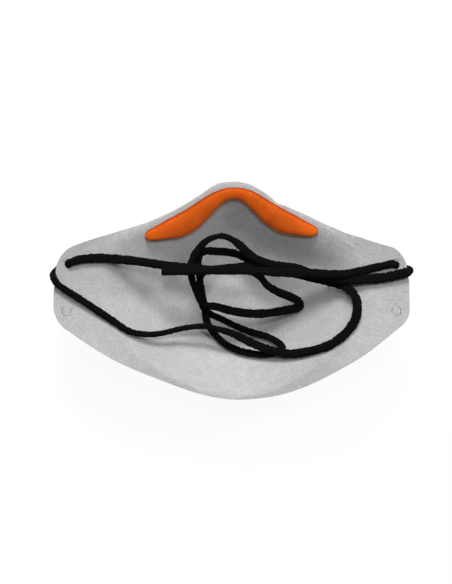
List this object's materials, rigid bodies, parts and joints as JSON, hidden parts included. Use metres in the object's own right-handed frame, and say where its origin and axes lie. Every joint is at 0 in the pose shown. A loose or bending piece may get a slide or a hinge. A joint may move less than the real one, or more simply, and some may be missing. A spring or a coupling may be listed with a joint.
{
  "type": "disposable dust mask",
  "caption": "Moulded bowl-shaped dust mask with flat side wings, a foam nose strip, a bendable nose clip and a knitted tie cord through eyelets in the wings.",
  "frame": {"origin": "centre of the small flat at the lowest point of the dome, on which the mask rests with its hollow side up", "axes": "+Z towards the wearer's face, +Y towards the nose, +X to the right as seen from the face side"},
  "size_m": [0.2164, 0.1302, 0.0502],
  "materials": {
    "liner": "soft light grey non-woven, smooth and slightly fuzzy",
    "stiffener": "heat-moulded grey non-woven",
    "filter": "white melt-blown fibre web",
    "outer_cover": "mid grey non-woven, lightly pressed",
    "foam": "orange open-cell foam, matt with a fine skin",
    "clip": "satin soft aluminium strip",
    "adhesive": "thin translucent film",
    "cord": "black flat knitted cord, matt"
  },
  "bodies": {
    "cup": {"cup_inner_liner": "liner", "cup_stiffener": "stiffener", "cup_filter_layer": "filter", "cup_outer_cover": "outer_cover", "nose_clip": "clip", "nose_clip_adhesive": "adhesive", "nose_foam": "foam", "nose_foam_adhesive": "adhesive"},
    "left_wing": {"left_wing_inner_liner": "liner", "left_wing_stiffener": "stiffener", "left_wing_filter_layer": "filter", "left_wing_outer_cover": "outer_cover", "cord_left_lead": "cord"},
    "right_wing": {"right_wing_inner_liner": "liner", "right_wing_stiffener": "stiffener", "right_wing_filter_layer": "filter", "right_wing_outer_cover": "outer_cover", "cord_right_lead": "cord"},
    "headband": {"cord_front_left": "cord", "cord_front_right": "cord", "cord_rear_tangle": "cord"},
    "left_slug": {"left_hole_slug": "liner"},
    "right_slug": {"right_hole_slug": "liner"}
  },
  "joints": [
    {"name": "left_wing_fold", "type": "hinge", "parent": "cup", "child": "left_wing", "pos_m": [-0.079, 0, 0.044], "axis": [0, 1, 0], "range_deg": [-10, 30], "stiffness_Nm_per_rad": 0.05},
    {"name": "right_wing_fold", "type": "hinge", "parent": "cup", "child": "right_wing", "pos_m": [0.079, 0, 0.044], "axis": [0, -1, 0], "range_deg": [-10, 30], "stiffness_Nm_per_rad": 0.05},
    {"name": "headband_swing", "type": "hinge", "parent": "cup", "child": "headband", "pos_m": [0, 0.0195, 0.047], "axis": [-1, 0, 0], "range_deg": [0, 40]},
    {"name": "left_slug_hinge", "type": "hinge", "parent": "left_wing", "child": "left_slug", "pos_m": [-0.097, -0.01373, 0.043], "axis": [-1, 0, 0], "range_deg": [0, 80]},
    {"name": "right_slug_hinge", "type": "hinge", "parent": "right_wing", "child": "right_slug", "pos_m": [0.097, -0.01373, 0.043], "axis": [-1, 0, 0], "range_deg": [0, 80]}
  ]
}
